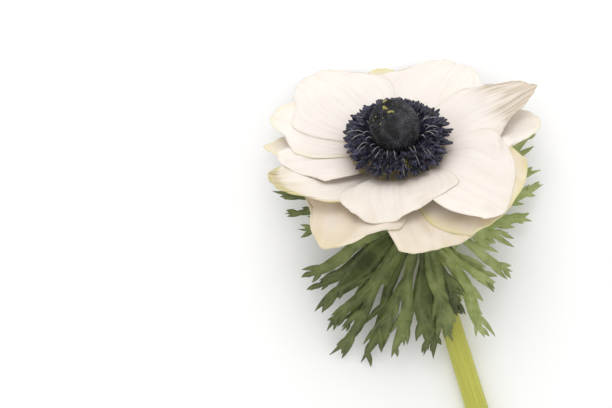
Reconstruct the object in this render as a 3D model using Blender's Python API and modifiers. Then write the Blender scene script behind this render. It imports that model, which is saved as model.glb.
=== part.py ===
"""A cut anemone lying on a surface.

It has fourteen petals, a dark centre, a ring of stamens, three cut leaves and a stem. Lengths are
millimetres in the constants and become metres when a mesh is made. +Z is up, and the surface is z = 0.
The bloom has its own frame: right, back, and the axis that it faces along. Angles in it turn from right
to back.
"""

import math
import random

import bmesh
import bpy
from mathutils import Vector
from mathutils.bvhtree import BVHTree
from mathutils.geometry import delaunay_2d_cdt

MM = 0.001

# Where the bloom is and how it leans.
HOME = Vector((-3.8, 56.3, 0.0))
BLOOM_HEIGHT = 28.3
BLOOM_TILT = math.radians(40.0)
BLOOM_ROLL = math.radians(6.0)

# Petals: thin blades in two whorls. Each later one lies over those before it.
PETAL_THICKNESS = 0.64
PETAL_CLEARANCE = 0.98
PETAL_ROWS = 11
PETAL_COLUMNS = 8
PETAL_BASE_RADIUS = 5.6
PETAL_BASE_WIDTH = 4.2
PETALS = {
    "petal_outer_6": dict(turn=283, length=32.5, width=23, slope=(20, -7, -18), drop=0.08, taper=0.08,
                          blunt=4),
    "petal_outer_2": dict(turn=92, length=32.5, width=26, slope=(26, 8, 14)),
    "petal_outer_5": dict(turn=233, length=34.5, width=32, slope=(20, -3, -14)),
    "petal_outer_4": dict(turn=202, length=36.5, width=26, slope=(24, 2, 30), drop=0.24),
    "petal_outer_7": dict(turn=318, length=34.5, width=35, slope=(22, 0, 0), drop=0.14, taper=0.15, twist=14),
    "petal_outer_3": dict(turn=166, length=33, width=22, slope=(24, 2, 0), point=0.06),
    "petal_outer_1": dict(turn=13, length=38.5, width=24, slope=(24, 2, 0)),
    "petal_inner_3": dict(turn=57, length=37.5, width=38, slope=(28, 4, -2)),
    "petal_inner_6": dict(turn=186, length=30, width=26, slope=(28, 4, -4)),
    "petal_inner_2": dict(turn=20, length=41, width=25, slope=(28, 4, 8), skew=0.06),
    "petal_inner_5": dict(turn=150, length=35.5, width=30, slope=(28, 4, -2)),
    "petal_inner_1": dict(turn=325, length=31.5, width=40, slope=(28, 2, -8), drop=0.14, taper=0.15, blunt=3,
                          skew=-0.1),
    "petal_inner_7": dict(turn=266, length=25, width=33, slope=(28, 0, -10), drop=0.22, skew=-0.18),
    "petal_inner_4": dict(turn=124, length=38, width=36, slope=(28, 5, -2)),
}
PETAL_LEVEL = {"inner": -6.0, "outer": -8.8}
PETAL_COMMON = dict(cup=0.6, wave=0.3, drop=0.30, taper=0.34, blunt=2.6, point=0, skew=0, twist=0)

# The dark centre.
CENTRE_FLOOR = -0.6
CENTRE_LEAN = -0.07
CENTRE_PROFILE = (
    (5.0, 0.0), (6.3, 2.2), (7.0, 4.6), (7.15, 7.0), (6.75, 9.4), (5.6, 11.8), (3.8, 13.5), (1.9, 14.4),
)
CENTRE_TOP = 14.6
CENTRE_SIDES = 26

# Stamens.
STAMEN_COUNT = 56
STAMEN_RING_RADIUS = 6.6

# Stem: points along its middle, from the bloom down and along the surface, each with its radius.
STEM_SIDES = 14
RECEPTACLE = ((-0.95, 7.5), (-1.5, 7.6), (-1.9, 5.1), (-9.6, 4.9), (-11.0, 3.5), (-12.5, 3.0))
STEM_PATH = (
    (3.6, -14.4, 17.9, 2.95),
    (8.0, -21.5, 13.2, 3.0),
    (11.2, -32.0, 9.2, 3.05),
    (14.6, -44.0, 6.2, 3.15),
    (18.4, -56.5, 4.4, 3.25),
    (22.3, -69.0, 3.6, 3.35),
    (26.0, -81.0, 3.42, 3.42),
    (31.6, -100.0, 3.5, 3.5),
    (37.6, -120.0, 3.6, 3.6),
    (43.0, -138.0, 3.7, 3.7),
)
WHORL = Vector((8.0, -21.5, 13.2))

# Leaves: a palm and lobes. A lobe is its direction in degrees, its length, how far it bends, its greatest
# width and how many points it has. A point is a narrow side lobe.
LEAF_THICKNESS = 0.62
LEAF_CLEARANCE = 1.1
STEM_CLEARANCE = 0.5
LEAF_START = 4.2
LOBE_STEPS = 7
LOBE_FOOT = 0.62
LOBE_PEAK = 0.55
POINT_STEPS = 3
POINT_FOOT = 0.9
POINT_PEAK = 0.4
POINT_LENGTH = (6.5, 11.0)
POINT_WIDTH = (1.5, 2.2)
POINT_ANGLE = (17.0, 33.0)
POINT_BEND = 14.0
LEAVES = {
    "leaf_right": dict(height=13.2, palm=14.0, slope=(0, -14, -22), seed=4, lobes=(
        (-61, 42, -6, 4.2, 4), (-49, 31, 4, 3.0, 1), (-42, 33, 6, 4.0, 2), (-31, 34, 6, 4.6, 2),
        (-26, 30, 8, 3.6, 2), (-14, 27, 0, 3.4, 2), (-2, 35, 2, 4.2, 3), (11, 40, 4, 3.8, 3),
        (22, 39, 3, 3.6, 2), (34, 45, 4, 3.8, 3),
    )),
    "leaf_left": dict(height=15.0, palm=19.0, slope=(4, -18, -28), seed=7, lobes=(
        (150, 38, 0, 3.4, 2), (162, 42, 0, 3.8, 3), (174, 47, 3, 4.0, 4), (185, 41, 0, 3.6, 2),
        (195, 37, 0, 3.4, 2), (206, 42, 6, 4.6, 2), (213, 41, 6, 4.4, 2), (221, 44, 2, 4.4, 3),
    )),
    "leaf_front": dict(height=16.8, palm=22.0, slope=(6, -20, -34), seed=12, lobes=(
        (229, 47, 4, 4.4, 3), (243, 54, -9, 4.2, 3), (236, 43, -2, 4.0, 2), (249, 50, 3, 4.6, 4),
        (254, 44, -3, 4.4, 2), (261, 45, -2, 5.0, 3), (269, 42, 8, 4.4, 3), (277, 45, 0, 4.6, 3),
        (283, 41, 2, 4.6, 3), (287, 40, 6, 4.4, 2), (291, 37, 5, 4.4, 3), (295, 32, 4, 4.0, 2),
    )),
}


def bloom_axes():
    """The bloom's three directions in the world."""
    roll_cos = math.cos(BLOOM_ROLL)
    roll_sin = math.sin(BLOOM_ROLL)
    tilt_cos = math.cos(BLOOM_TILT)
    tilt_sin = math.sin(BLOOM_TILT)
    right = Vector((roll_cos, roll_sin, 0))
    axis = Vector((-roll_sin * tilt_cos, roll_cos * tilt_cos, tilt_sin))
    return right, axis.cross(right), axis


RIGHT, BACK, AXIS = bloom_axes()
BLOOM_MIDDLE = HOME + Vector((0, 0, BLOOM_HEIGHT))


def from_bloom(point):
    """A point of the bloom's frame, placed in the world."""
    return BLOOM_MIDDLE + RIGHT * point.x + BACK * point.y + AXIS * point.z


def smooth(value):
    value = min(max(value, 0.0), 1.0)
    return value * value * (3 - 2 * value)


def slope_at(slopes, s):
    first, second, third = (math.radians(angle) for angle in slopes)
    return (1 - s) ** 2 * first + 2 * s * (1 - s) * second + s * s * third


def middle_line(form, steps=40):
    """Points and directions along a petal's middle, from its base to its tip."""
    turn = math.radians(form["turn"])
    point = Vector((math.cos(turn), math.sin(turn), 0)) * PETAL_BASE_RADIUS
    point.z = form["level"]
    line = []
    for step in range(steps + 1):
        s = step / steps
        slope = slope_at(form["slope"], s)
        ahead = Vector((math.cos(turn) * math.cos(slope), math.sin(turn) * math.cos(slope), math.sin(slope)))
        line.append((point.copy(), ahead))
        point += ahead * (form["length"] / steps)
    return line


def petal_half_width(form, s):
    base = PETAL_BASE_WIDTH / form["width"]
    rise = math.sin(math.pi / 2 * min(s / 0.62, 1.0))
    fall = 1 - form["taper"] * smooth((s - 0.62) / 0.38) ** 1.3
    return form["width"] / 2 * (base + (1 - base) * rise) * fall


def petal_point(form, line, s, t):
    """A point of the petal's middle surface. s runs from base to tip, and t from edge to edge, -1 to 1."""
    reach = 1 - form["drop"] * abs(t) ** form["blunt"] * s ** 2
    reach += form["point"] * max(0, 1 - abs(t) * 3) * s ** 4
    reach *= 1 + form["skew"] * t
    along = s * reach * (len(line) - 1)
    index = min(int(along), len(line) - 2)
    part = along - index
    start, ahead = line[index]
    end, ahead_end = line[index + 1]
    middle = start + (end - start) * part
    ahead = (ahead * (1 - part) + ahead_end * part).normalized()
    side = Vector((0, 0, 1)).cross(ahead).normalized()
    normal = ahead.cross(side)
    twist = math.radians(form["twist"]) * s
    side, normal = (side * math.cos(twist) + normal * math.sin(twist),
                    normal * math.cos(twist) - side * math.sin(twist))
    lift = form["cup"] * t * t * smooth(s * 1.6)
    lift += form["wave"] * math.sin(7 * s + 3.1 * t + 1) * abs(t) ** 1.5 * s
    return middle + side * (petal_half_width(form, s) * t) + normal * lift


def petal_surface(form):
    """The points and triangles of a petal's middle surface, in the bloom's frame."""
    line = middle_line(form)
    points = []
    for row in range(PETAL_ROWS + 1):
        s = (row / PETAL_ROWS) ** 0.9
        for column in range(PETAL_COLUMNS + 1):
            points.append(petal_point(form, line, s, 2 * column / PETAL_COLUMNS - 1))
    triangles = []
    for row in range(PETAL_ROWS):
        for column in range(PETAL_COLUMNS):
            near = row * (PETAL_COLUMNS + 1) + column
            far = near + PETAL_COLUMNS + 1
            if column < PETAL_COLUMNS / 2:
                triangles += [(near, far, near + 1), (near + 1, far, far + 1)]
            else:
                triangles += [(near, far, far + 1), (near, far + 1, near + 1)]
    return points, triangles


def samples(points, triangles):
    """Spots over a surface, each with the corners that move it."""
    spots = [(point, (number,)) for number, point in enumerate(points)]
    for triangle in triangles:
        corners = [points[corner] for corner in triangle]
        spots.append((sum(corners, Vector((0, 0, 0))) / 3, triangle))
        for first, second in ((0, 1), (1, 2), (2, 0)):
            spots.append(((corners[first] + corners[second]) / 2, (triangle[first], triangle[second])))
    return spots


def drape(points, triangles, below, up, clearance, rounds=30):
    """Lifts a surface along up until it clears each surface in below. Neighbours share each lift."""
    neighbours = [set() for _ in points]
    for triangle in triangles:
        for corner in triangle:
            neighbours[corner].update(triangle)
    under = [(BVHTree.FromPolygons(spots, faces), samples(spots, faces)) for spots, faces in below]
    for _ in range(rounds):
        lifts = [0.0] * len(points)
        own = BVHTree.FromPolygons(points, triangles)
        for point, corners in samples(points, triangles):
            for tree, _ in under:
                hit, normal, _, _ = tree.ray_cast(point + up * 30, -up)
                if hit is None:
                    continue
                short = clearance / max(abs(normal.dot(up)), 0.6) - (point - hit).dot(up)
                for corner in corners:
                    lifts[corner] = max(lifts[corner], short)
        for _, spots in under:
            for spot, _ in spots:
                hit, normal, face, _ = own.ray_cast(spot - up * 30, up)
                if hit is None:
                    continue
                short = clearance / max(abs(normal.dot(up)), 0.6) - (hit - spot).dot(up)
                for corner in triangles[face]:
                    lifts[corner] = max(lifts[corner], short)
        if max(lifts) < 0.01:
            break
        for _ in range(2):
            lifts = [max(lift, 0.8 * sum(lifts[other] for other in near) / len(near))
                     for lift, near in zip(lifts, neighbours)]
        points = [point + up * lift for point, lift in zip(points, lifts)]
    return points


def material(name, colour, roughness=0.6):
    made = bpy.data.materials.new(name)
    made.use_nodes = True
    shader = made.node_tree.nodes["Principled BSDF"]
    shader.inputs["Base Color"].default_value = (*colour, 1)
    shader.inputs["Roughness"].default_value = roughness
    return made


def add_object(name, mesh, collection, colour, roughness=0.6):
    made = bpy.data.objects.new(name, mesh)
    collection.objects.link(made)
    mesh.materials.append(material(name, colour, roughness))
    for face in mesh.polygons:
        face.use_smooth = True
    return made


def add_blade(name, points, triangles, collection, colour, thickness):
    """A surface given a thickness, half of it to each side."""
    mesh = bpy.data.meshes.new(name)
    mesh.from_pydata([point * MM for point in points], [], triangles)
    made = add_object(name, mesh, collection, colour)
    solidify = made.modifiers.new("thickness", "SOLIDIFY")
    solidify.thickness = thickness * MM
    solidify.offset = 0
    return made


def add_petals(collection):
    placed = []
    for name, own in PETALS.items():
        level = PETAL_LEVEL[name.split("_")[1]]
        points, triangles = petal_surface(PETAL_COMMON | dict(level=level) | own)
        points = drape(points, triangles, placed, Vector((0, 0, 1)), PETAL_CLEARANCE)
        placed.append((points, triangles))
        add_blade(name, [from_bloom(point) for point in points], triangles, collection, (0.92, 0.88, 0.8),
                  PETAL_THICKNESS)


def ring_mesh(name, rings, cap_start, cap_end):
    """Rings of points joined into a skin; a cap is a point that closes an end."""
    mesh = bpy.data.meshes.new(name)
    sides = len(rings[0])
    points = [point for ring in rings for point in ring]
    faces = []
    for ring in range(len(rings) - 1):
        for side in range(sides):
            here = ring * sides + side
            beside = ring * sides + (side + 1) % sides
            faces.append((here, beside, beside + sides, here + sides))
    points += [cap_start, cap_end]
    last = len(points) - 1
    top = (len(rings) - 1) * sides
    for side in range(sides):
        faces.append((last - 1, (side + 1) % sides, side))
        faces.append((last, top + side, top + (side + 1) % sides))
    mesh.from_pydata([point * MM for point in points], [], faces)
    return mesh


def tube_rings(path, sides):
    """Rings round a path of (point, radius), each square to the path."""
    rings = []
    side = None
    for index, (point, radius) in enumerate(path):
        before = path[max(index - 1, 0)][0]
        after = path[min(index + 1, len(path) - 1)][0]
        ahead = (after - before).normalized()
        if side is None:
            side = ahead.orthogonal().normalized()
        side = (side - ahead * side.dot(ahead)).normalized()
        up = ahead.cross(side)
        angles = [2 * math.pi * number / sides for number in range(sides)]
        rings.append([point + (side * math.cos(angle) + up * math.sin(angle)) * radius for angle in angles])
    return rings


def add_centre(collection):
    """The domed mass of carpels, with a fine relief over it."""
    rings = []
    for level, (radius, height) in enumerate(CENTRE_PROFILE):
        ring = []
        for side in range(CENTRE_SIDES):
            angle = 2 * math.pi * (side + 0.5 * (level % 2)) / CENTRE_SIDES
            relief = 0.16 * math.cos(13 * angle + 2.4 * level)
            spot = Vector((math.cos(angle), math.sin(angle), 0)) * (radius + relief)
            spot.x += CENTRE_LEAN * height
            spot.z = CENTRE_FLOOR + height
            ring.append(from_bloom(spot))
        rings.append(ring)
    bottom = from_bloom(Vector((0, 0, CENTRE_FLOOR)))
    top = from_bloom(Vector((CENTRE_LEAN * CENTRE_TOP, 0, CENTRE_FLOOR + CENTRE_TOP)))
    add_object("centre_dome", ring_mesh("centre_dome", rings, bottom, top), collection, (0.02, 0.02, 0.03))


def add_stem(collection):
    """The stem with its swollen top. Returns a surface with room round it, over which the leaves are laid."""
    path = [(from_bloom(Vector((0, 0, height))), radius) for height, radius in RECEPTACLE]
    path += [(HOME + Vector(spot[:3]), spot[3]) for spot in STEM_PATH]
    mesh = ring_mesh("stem", tube_rings(path, STEM_SIDES), path[0][0], path[-1][0])
    add_object("stem", mesh, collection, (0.45, 0.47, 0.1))
    rings = tube_rings([(point, radius + STEM_CLEARANCE) for point, radius in path], STEM_SIDES)
    points = [point for ring in rings for point in ring]
    faces = []
    for ring in range(len(rings) - 1):
        for side in range(STEM_SIDES):
            here = ring * STEM_SIDES + side
            beside = ring * STEM_SIDES + (side + 1) % STEM_SIDES
            faces.append((here, beside, beside + STEM_SIDES, here + STEM_SIDES))
    return points, faces


def heading_vector(degrees):
    return Vector((math.cos(math.radians(degrees)), math.sin(math.radians(degrees))))


def blade(root, heading, length, bend, width, foot, peak, steps):
    """A pointed blade laid flat: its two sides and its rib. foot is its root's share of its width."""
    rib = [root]
    left = []
    right = []
    for step in range(steps):
        s = step / steps
        toward = heading + bend * s
        half = width / 2 * (foot + (1 - foot) * smooth(s / peak))
        if s > peak:
            half = width / 2 * (1 - ((s - peak) / (1 - peak)) ** 1.5)
        left.append(rib[-1] + heading_vector(toward + 90) * half)
        right.append(rib[-1] - heading_vector(toward + 90) * half)
        rib.append(rib[-1] + heading_vector(toward + bend * 0.5 / steps) * (length / steps))
    return left, right, rib


def lobe_outlines(lobe, palm, chance):
    """One lobe laid flat, from the whorl's middle: its outline beyond the palm, and its points' outlines."""
    direction, length, bend, width, count = lobe
    own_length = length - LEAF_START
    left, right, rib = blade(heading_vector(direction) * LEAF_START, direction, own_length, bend, width,
                             LOBE_FOOT, LOBE_PEAK, LOBE_STEPS)
    first = int(LOBE_STEPS * (palm * 0.9 - LEAF_START) / own_length)
    outlines = [left[first:] + [rib[-1]] + right[first:][::-1]]
    side = chance.choice((-1, 1))
    for number in range(count):
        place = (0.44 + 0.36 * (number + chance.random()) / count) * LOBE_STEPS
        heading = direction + bend * place / LOBE_STEPS + side * chance.uniform(*POINT_ANGLE)
        reach = chance.uniform(*POINT_LENGTH)
        near = rib[int(place)]
        root = near + (rib[int(place) + 1] - near) * (place - int(place))
        left, right, point_rib = blade(root, heading, reach, -side * POINT_BEND, chance.uniform(*POINT_WIDTH),
                                       POINT_FOOT, POINT_PEAK, POINT_STEPS)
        outlines.append(left + [point_rib[-1]] + right[::-1])
        side = -side
    return outlines


def leaf_flat(form):
    """The flat leaf as points and triangles: its palm and lobes joined."""
    chance = random.Random(form["seed"])
    angles = [lobe[0] for lobe in form["lobes"]]
    first = min(angles) - 5
    last = max(angles) + 5
    edge = [heading_vector(first + (last - first) * step / 8) for step in range(9)]
    points = [ahead * form["palm"] for ahead in edge] + [ahead * LEAF_START for ahead in edge[::-1]]
    faces = [list(range(len(points)))]
    for lobe in form["lobes"]:
        for outline in lobe_outlines(lobe, form["palm"], chance):
            faces.append(list(range(len(points), len(points) + len(outline))))
            points += outline
    found, _, triangles, _, _, _ = delaunay_2d_cdt(points, [], faces, 1, 0.05)
    return found, triangles


def leaf_surface(form):
    """The leaf bent into its arch, in the world."""
    flat, triangles = leaf_flat(form)
    points = []
    for spot in flat:
        radius = spot.length
        reach = LEAF_START
        height = form["height"]
        steps = 20
        for step in range(steps):
            slope = slope_at(form["slope"], (step + 0.5) / steps * radius / 50)
            reach += (radius - LEAF_START) / steps * math.cos(slope)
            height += (radius - LEAF_START) / steps * math.sin(slope)
        angle = math.degrees(math.atan2(spot.y, spot.x))
        nearest = min(abs(angle % 360 - lobe[0] % 360) for lobe in form["lobes"])
        height -= 0.10 * min(nearest, 7) * smooth(radius / 12)
        height = max(height, 1.3)
        out = spot.normalized() * reach
        points.append(HOME + Vector((WHORL.x + out.x, WHORL.y + out.y, height)))
    return points, triangles


def add_leaves(collection, stem):
    placed = [stem]
    for name, form in LEAVES.items():
        points, triangles = leaf_surface(form)
        points = drape(points, triangles, placed, Vector((0, 0, 1)), LEAF_CLEARANCE)
        placed.append((points, triangles))
        add_blade(name, points, triangles, collection, (0.12, 0.18, 0.05), LEAF_THICKNESS)


def stamen_path(chance, number):
    """One stamen as points with radii: its root, its filament and its anther."""
    turn = 2 * math.pi * (number * 0.381966 + chance.uniform(-0.01, 0.01))
    front = smooth(-math.sin(turn))
    row = chance.random()
    root = STAMEN_RING_RADIUS + chance.uniform(-0.35, 0.35)
    spread = 4.6 + 1.9 * row + chance.uniform(-0.5, 0.6) + 3.6 * front * row
    height = 6.0 - 0.8 * row - 3.8 * front * row + chance.uniform(-0.4, 0.8)
    height = max(height, 2.0)
    sway = chance.uniform(-0.09, 0.09)
    spots = []
    for s, radius in ((0, 0.36), (0.4, 0.32), (0.76, 0.32), (0.86, 0.6), (1.03, 0.6), (1.13, 0.3)):
        out = root + spread * s ** 1.25
        up = height * math.sin(math.pi / 2 * min(s, 1.0)) ** 0.9 + max(0, s - 1) * height * 0.3
        angle = turn + sway * s
        spots.append((Vector((math.cos(angle) * out, math.sin(angle) * out, up - 0.2)), radius))
    return spots


def add_stamens(collection, helpers):
    """A ring with the stamens rooted in it, joined into one solid."""
    chance = random.Random(5)
    steps = 40
    rings = []
    for step in range(steps):
        angle = 2 * math.pi * step / steps
        ahead = Vector((math.cos(angle), math.sin(angle), 0))
        rings.append([from_bloom(ahead * (STAMEN_RING_RADIUS + x) + Vector((0, 0, z)))
                      for x, z in ((-0.85, -0.55), (0.8, -0.55), (0.95, 0.1), (0.3, 0.75), (-0.6, 0.6))])
    sides = len(rings[0])
    faces = []
    for step in range(steps):
        for side in range(sides):
            here = step * sides + side
            beside = step * sides + (side + 1) % sides
            there = ((step + 1) % steps) * sides
            faces.append((here, there + side, there + (side + 1) % sides, beside))
    mesh = bpy.data.meshes.new("stamens")
    mesh.from_pydata([point * MM for ring in rings for point in ring], [], faces)
    base = add_object("stamens", mesh, collection, (0.05, 0.04, 0.1))
    for number in range(STAMEN_COUNT):
        path = [(from_bloom(spot), radius) for spot, radius in stamen_path(chance, number)]
        made = ring_mesh("stamen", tube_rings(path, 5), path[0][0], path[-1][0])
        helpers.objects.link(bpy.data.objects.new("stamen", made))
    join = base.modifiers.new("join", "BOOLEAN")
    join.operation = "UNION"
    join.operand_type = "COLLECTION"
    join.collection = helpers
    join.solver = "MANIFOLD"
    graph = bpy.context.evaluated_depsgraph_get()
    joined = bpy.data.meshes.new_from_object(base.evaluated_get(graph))
    base.modifiers.clear()
    base.data = joined
    for item in list(helpers.objects):
        bpy.data.objects.remove(item)


def build():
    for item in list(bpy.data.objects):
        bpy.data.objects.remove(item)
    flower = bpy.data.collections.new("anemone_flower")
    helpers = bpy.data.collections.new("helpers")
    bpy.context.scene.collection.children.link(flower)
    bpy.context.scene.collection.children.link(helpers)
    add_petals(flower)
    add_centre(flower)
    add_stamens(flower, helpers)
    stem = add_stem(flower)
    add_leaves(flower, stem)


build()
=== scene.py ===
"""Looks of the cut anemone: veined petals, a dark centre, a dense ring of stamens, cut leaves and a stem.

Lengths are in millimetres and become metres when a mesh is made. Named angles are in degrees. The bloom has
its own frame: right, back, and the axis that it faces along. Angles in it turn from right to back.
"""

import random
from math import copysign, cos, exp, hypot, pi, radians, sin, sqrt, tan

import bpy
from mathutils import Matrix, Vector, noise
from mathutils.bvhtree import BVHTree
from mathutils.geometry import delaunay_2d_cdt


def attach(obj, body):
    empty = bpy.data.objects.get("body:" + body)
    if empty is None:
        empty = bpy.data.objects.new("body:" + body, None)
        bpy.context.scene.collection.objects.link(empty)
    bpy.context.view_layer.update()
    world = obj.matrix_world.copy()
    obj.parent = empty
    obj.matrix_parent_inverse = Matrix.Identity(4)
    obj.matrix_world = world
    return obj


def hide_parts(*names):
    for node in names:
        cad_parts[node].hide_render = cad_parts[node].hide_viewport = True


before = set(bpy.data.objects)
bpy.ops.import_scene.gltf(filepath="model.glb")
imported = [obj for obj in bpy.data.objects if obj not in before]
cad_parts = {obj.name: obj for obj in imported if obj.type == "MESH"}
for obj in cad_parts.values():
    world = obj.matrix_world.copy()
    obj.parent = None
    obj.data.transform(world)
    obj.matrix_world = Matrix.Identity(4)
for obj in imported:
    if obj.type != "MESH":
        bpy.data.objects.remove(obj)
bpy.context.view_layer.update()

MM = 0.001
UP = Vector((0, 0, 1))

# Where the bloom is and how it leans, as in the solids.
HOME = Vector((-3.8, 56.3, 0))
BLOOM_HEIGHT = 28.3
BLOOM_TILT = 40
BLOOM_ROLL = 6

# Laying a surface over others: how far off rays start, the steepest slope that counts, and how lifts spread.
RAY_START = 30
STEEPEST_NORMAL = 0.6
LIFT_SPREAD = 0.8
LIFT_IGNORED = 0.01

# Petals, as in the solids but thinner and finer. A fine net of points follows a coarse one.
PETAL_THICKNESS = 0.22
PETAL_CLEARANCE = 0.55
PETAL_CONTACT = 0.25
PETAL_ROWS = 11
PETAL_COLUMNS = 8
FINE_ROWS = 56
FINE_COLUMNS = 40
PETAL_BASE_RADIUS = 5.6
PETAL_BASE_WIDTH = 4.2
PETAL_WIDEST = 0.62

# Each petal, from the lowest up. First its shape: its direction, length, greatest width, and slope at its
# base, middle and end. Its corners drop back from its end, which is squarer the blunter it is. It tapers, and
# may have a point, a skew that makes one side longer, and a twist. Its margins rise by its cup, and wave.
# Then its looks: how yellow-green its rim is; how brown its margin is, partly wear and partly painted shade;
# how much painted grey-brown shade its outer half (tip) has; how much painted olive-brown shade its end has,
# standing in for a curled rim; how creamy it is, partly its own cream and partly painted shade; and its folds
# as (across, depth, width).
PETAL_COMMON = dict(drop=0.30, blunt=2.6, taper=0.34, point=0, skew=0, twist=0, cup=0.6, wave=0.3,
                    rim=0.1, wear_and_shade=0, tip=0, curl_shade=0, cream_and_shade=0, folds=())
# foot: inner petals carry the full painted mauve and olive shade round the stamens, outer ones little of it.
PETAL_LAYERS = {"inner": dict(level=-6, foot=1), "outer": dict(level=-8.8, foot=0.15)}
PETALS = {
    "outer_6": dict(turn=282, length=32.5, width=25, slope=(20, -7, -18), drop=0.08, taper=0.08, blunt=4,
                    rim=0.3, cream_and_shade=0.75, folds=((-0.5, 0.25, 0.06), (-0.1, 0.2, 0.05), (0.35, 0.3, 0.08))),
    "outer_2": dict(turn=92, length=32.5, width=26, slope=(26, 8, 14), rim=1, cream_and_shade=0.5),
    "outer_5": dict(turn=233, length=34.5, width=32, slope=(20, -3, -14), point=0.05,
                    rim=0.4, wear_and_shade=0.15, cream_and_shade=0.85, folds=((0.3, 0.5, 0.08), (-0.3, 0.25, 0.06))),
    "outer_4": dict(turn=202, length=36.5, width=26, slope=(24, 2, 30), drop=0.24,
                    rim=1.8, wear_and_shade=1.5, tip=0.3, curl_shade=1, cream_and_shade=0.1, folds=((0.3, 0.3, 0.10),)),
    "outer_7": dict(turn=318, length=34.5, width=35, slope=(22, 0, 0), drop=0.14, taper=0.15, twist=14,
                    rim=1, wear_and_shade=0.25, cream_and_shade=0.9, folds=((-0.4, 0.3, 0.10),)),
    "outer_3": dict(turn=166, length=33, width=22, slope=(24, 2, 0), point=0.06, rim=0.8, cream_and_shade=0.3),
    "outer_1": dict(turn=10.5, length=38.5, width=28, slope=(24, 2, 0), rim=0.4),
    "inner_3": dict(turn=57, length=37, width=40, slope=(28, 4, -2), drop=0.28, skew=0.03,
                    rim=0.12, folds=((0.12, 0.4, 0.04), (-0.18, 0.35, 0.04), (0.42, 0.3, 0.05))),
    "inner_6": dict(turn=181, length=30, width=23, slope=(28, 4, -4), drop=0.36, taper=0.16, blunt=2.2,
                    wave=0.1, rim=0.15, wear_and_shade=0.2, folds=((0.25, 0.3, 0.05),)),
    "inner_2": dict(turn=20, length=40, width=25, slope=(28, 4, 8), skew=0.06, point=0.05,
                    rim=0.2, wear_and_shade=0.6, tip=2.1, folds=((-0.3, 0.35, 0.06), (0.25, 0.4, 0.05))),
    "inner_5": dict(turn=150, length=35.5, width=30, slope=(28, 4, -2), rim=0.5, folds=((0.1, 0.3, 0.06),)),
    "inner_1": dict(turn=322, length=33.2, width=34, slope=(28, 0, -20), drop=0.16, taper=0.18, blunt=2.6,
                    skew=-0.14, wave=0.15, wear_and_shade=0.12, cream_and_shade=0.12,
                    folds=((-0.35, 0.4, 0.06), (0.12, 0.35, 0.05), (0.5, 0.3, 0.05))),
    "inner_7": dict(turn=265, length=23.4, width=34, slope=(28, 0, -10), drop=0.2, taper=0.2, skew=-0.14,
                    wave=0.1, wear_and_shade=0.08, cream_and_shade=0.25,
                    folds=((0.3, 0.35, 0.05), (-0.35, 0.35, 0.05), (0, 0.3, 0.04))),
    "inner_4": dict(turn=124, length=38, width=36, slope=(28, 5, -2), drop=0.26, skew=-0.04,
                    wear_and_shade=0.08, folds=((-0.3, 0.35, 0.05), (0.2, 0.3, 0.05))),
}

# How far a petal's ripples, wavy margin and vein ridges stand off its plain surface.
RIPPLE = 0.5
MARGIN_WAVE = 0.5
VEIN_RIDGE = 0.12

# Rim, and wear with painted shade, fade inwards in shares of the petal. Painted grey-brown shade starts on
# the outer half, painted olive-brown shade starts near a curled end, and the foot's painted mauve and olive
# shade fades outwards from under the stamens.
RIM_FADE = 0.05
RIM_WIDE_FADE = 0.2
WEAR_AND_SHADE_FADE = 0.10
TIP_SHADE_START = 0.5
CURL_SHADE_START = 0.86
CURL_SHADE_BROWN = 0.55
FOOT_SHADE_RADIUS = 13.6
FOOT_SHADE_FADE = 1.5
FOOT_SHADE_WIDE_FADE = 6

# The dark centre: a dome given as (radius, height), with carpels all over it and clumps of pollen, given as
# (height, angle, number of grains).
CENTRE_FLOOR = -0.6
CENTRE_LEAN = -0.07
CENTRE_PROFILE = (
    (5, 0), (6.3, 2.2), (7, 4.6), (7.15, 7), (6.75, 9.4), (5.6, 11.8), (3.8, 13.5), (1.9, 14.4),
)
CENTRE_TOP = 14.6
CORE_ROWS = 30
CORE_SIDES = 48
CORE_INSET = 0.22
CARPEL_COUNT = 1500
CARPEL_RADIUS = 0.25
CARPEL_LENGTH = (0.34, 0.5)
CARPEL_SHAPE = ((0, 1), (0.45, 1), (0.8, 0.8), (1, 0.35))
AREA_STEPS = 200
STRAY_GRAINS = 4
GRAIN_RADIUS = (0.16, 0.38)
POLLEN_CLUMPS = ((14.2, 134, 9), (14.3, 214, 10), (14, 262, 14))
# The golden angle spreads carpels and stamens evenly: in radians, and as a share of a turn.
GOLDEN_TURN = pi * (3 - sqrt(5))
GOLDEN_SHARE = 0.381966

# Stamens. An anther's shape is (share of its length, share of its width), and the ring's section (out, up).
STAMEN_COUNT = 640
RING_RADIUS = 6.6
STAMEN_REACH = (9.2, 15.2)
RING_STEPS = 72
RING_SECTION = ((-0.9, -0.55), (0.8, -0.55), (0.95, 0.05), (0.4, 0.45), (-0.7, 0.5))
FILAMENT_POINTS = 8
FILAMENT_RADIUS = 0.20
FILAMENT_TAPER = 0.01
ANTHER_LENGTH = 2.9
ANTHER_WIDTH = 0.98
ANTHER_SPREAD = (0.8, 1.15)
ANTHER_SHAPE = ((0, 0.35), (0.08, 0.72), (0.22, 0.96), (0.45, 1), (0.7, 0.97), (0.88, 0.75), (1, 0.38))
ANTHER_SQUASH = 0.72
ANTHER_LOBES = 0.10
LOOSE_FILAMENTS = 48
LOOSE_RADIUS = 0.09
LOOSE_LIFT = 1.9

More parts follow.
